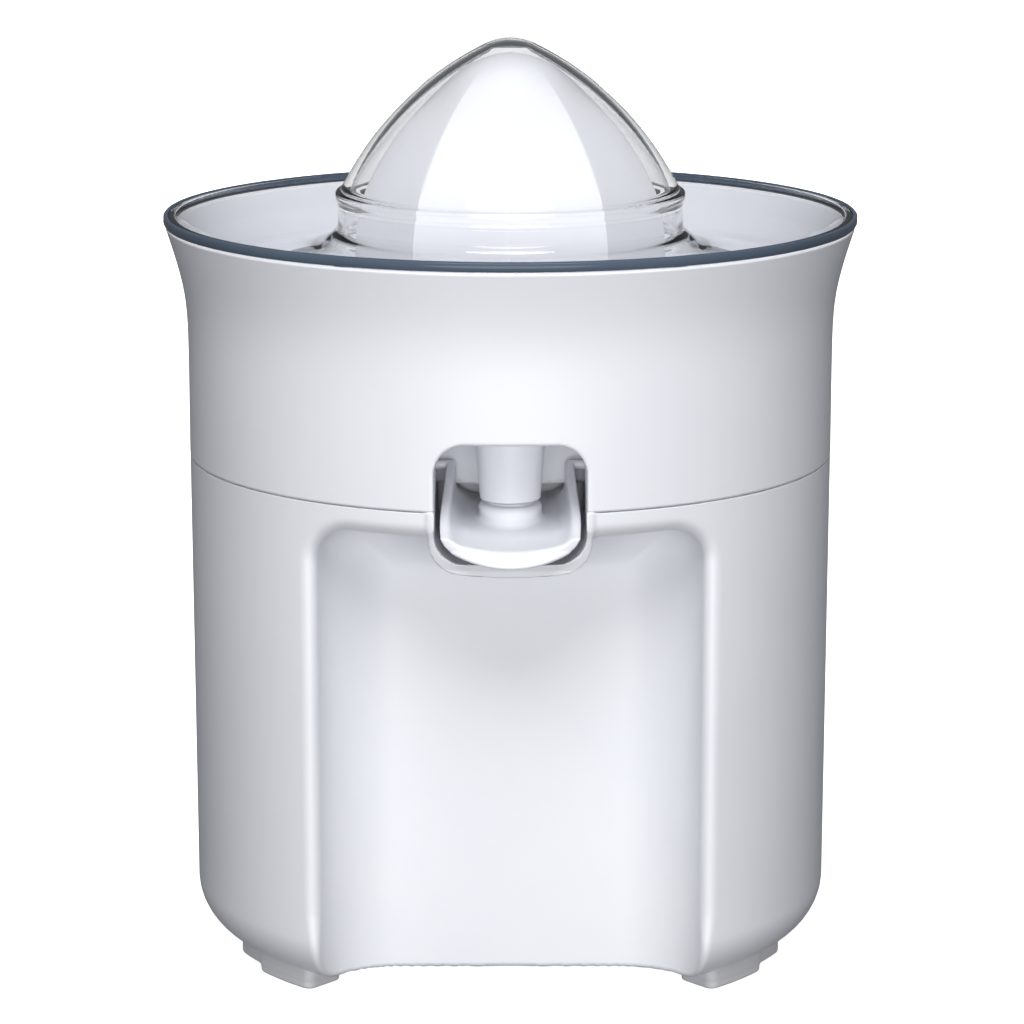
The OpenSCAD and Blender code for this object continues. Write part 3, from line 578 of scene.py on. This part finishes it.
# outer ring of the clear rim bead drawn in the painted shade material, in place of its dark
# refracted edge
bead = [(87.9, 190.8), (88.2, 191), (88.7, 190.9), (89, 190.5), (89, 189.1), (88.7, 188.5),
        (88, 188.4)]
points, quads = lathe(bead, 240)
rim = piece("cover_rim", points, quads, "cover", [], "clear", None, 50, painted_rim_shade)
for part in (cover, rim):
    part.visible_shadow = False
    part.visible_diffuse = False


# ---------- stage, lights, camera ----------

def light(name, place, target, width, height, power):
    """Oval area light at a place, turned towards its target."""
    data = bpy.data.lights.new(name, "AREA")
    data.shape = "ELLIPSE"
    data.size = width
    data.size_y = height
    data.energy = power
    obj = bpy.data.objects.new(name, data)
    scene.collection.objects.link(obj)
    obj.location = place
    aim = Vector(target) - Vector(place)
    obj.rotation_mode = "QUATERNION"
    obj.rotation_quaternion = aim.to_track_quat("-Z", "Y")
    return obj


# a round floor with a low wall round it, which is the backdrop of low views
n, far, high = 64, 8, 1.15
turns = np.radians(np.arange(n) * 360 / n)
rings = [(far * math.cos(t), far * math.sin(t), z) for z in (0, high) for t in turns]
around = [(i, i + n, (i + 1) % n + n, (i + 1) % n) for i in range(n)]
floor_mesh = bpy.data.meshes.new("floor")
floor_mesh.from_pydata(rings, [], [list(range(n))] + around)
floor = bpy.data.objects.new("floor", floor_mesh)
scene.collection.objects.link(floor)
paper = material("paper", (0.96, 0.96, 0.96), (1, 1, 1), 3, (0.8, 0.9), 0.0, 50)
paper_shader = paper.node_tree.nodes["Principled BSDF"]
paper_shader.inputs["Emission Color"].default_value = (1, 1, 1, 1)
paper_shader.inputs["Emission Strength"].default_value = 0.9
floor.data.materials.append(paper)
floor.visible_diffuse = False
floor.visible_glossy = False
floor.visible_shadow = False

world = bpy.data.worlds.new("studio")
world.use_nodes = True
world.node_tree.nodes["Background"].inputs["Color"].default_value = (0.9, 0.93, 1.0, 1)
world.node_tree.nodes["Background"].inputs["Strength"].default_value = 0.13
scene.world = world

light("key", (0, -0.9, 1.33), (0, 0, 0.13), 1.3, 0.75, 16.5)
light("front", (0, -1.75, 0.12), (0, 0, 0.12), 1.8, 0.9, 19)
# these two would show through the clear cover as pale patches
fill = [light("top", (0, 0.3, 1.5), (0, 0, 0.2), 0.9, 0.9, 4),
        light("rear", (0, 1.9, 0.6), (0, 0, 0.12), 1.8, 1.2, 20)]
for lamp in fill:
    lamp.visible_transmission = False
    lamp.visible_glossy = False

# fitted to the rim, the seam and the feet in the photo
cam = bpy.data.cameras.new("camera")
cam.lens = 146.24
cam.sensor_width = 36
cam.clip_start = 0.02
cam.clip_end = 100
camera = bpy.data.objects.new("camera", cam)
scene.collection.objects.link(camera)
camera.location = (0, -1.0619, 0.3392)
camera.rotation_euler = (math.radians(90 - 12.093), 0, -0.000406)
scene.camera = camera
scene.view_settings.view_transform = "Standard"
